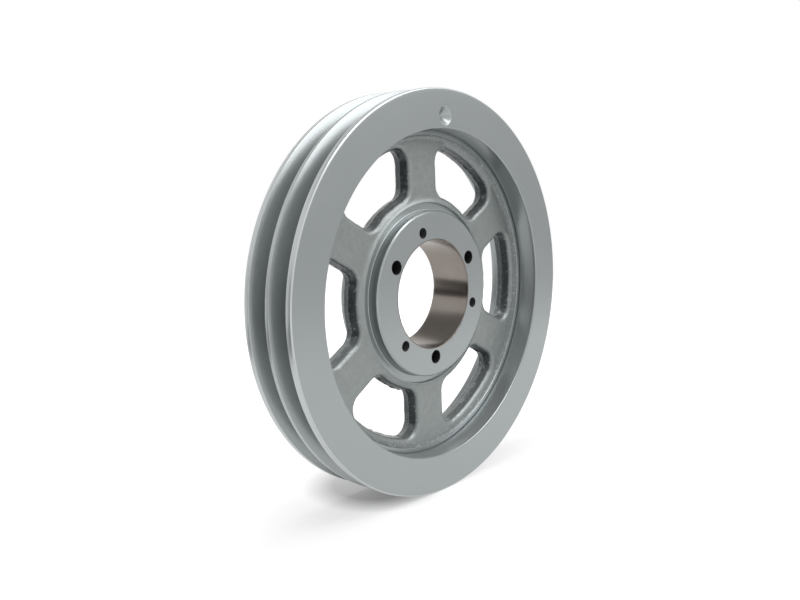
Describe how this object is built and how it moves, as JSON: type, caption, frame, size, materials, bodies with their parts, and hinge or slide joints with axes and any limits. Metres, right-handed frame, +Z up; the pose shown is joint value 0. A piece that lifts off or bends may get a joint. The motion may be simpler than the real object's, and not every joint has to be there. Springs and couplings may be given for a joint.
{
  "type": "v-belt pulley",
  "caption": "Painted cast-iron V-belt pulley: grooved rim, spoked web and taper-bored hub that a split flange bushing clamps to a shaft, so that belts can drive it.",
  "frame": {"origin": "on the pulley's axis, half way across the rim's face width, inside the taper bore", "axes": "+Y along the axis from the front face to the back, so the front faces -Y; +Z up as pictured; +X to the right seen from the front"},
  "size_m": [0.2616, 0.0406, 0.2616],
  "materials": {
    "rim_paint": "grey enamel, satin, over turned cast iron",
    "web_paint": "grey enamel over rough sand-cast iron",
    "hub_paint": "grey enamel, satin, over turned cast iron; the taper bore is bare bored iron"
  },
  "bodies": {
    "root": {"grooved_rim": "rim_paint", "arm_web": "web_paint", "taper_hub": "hub_paint"}
  },
  "joints": []
}
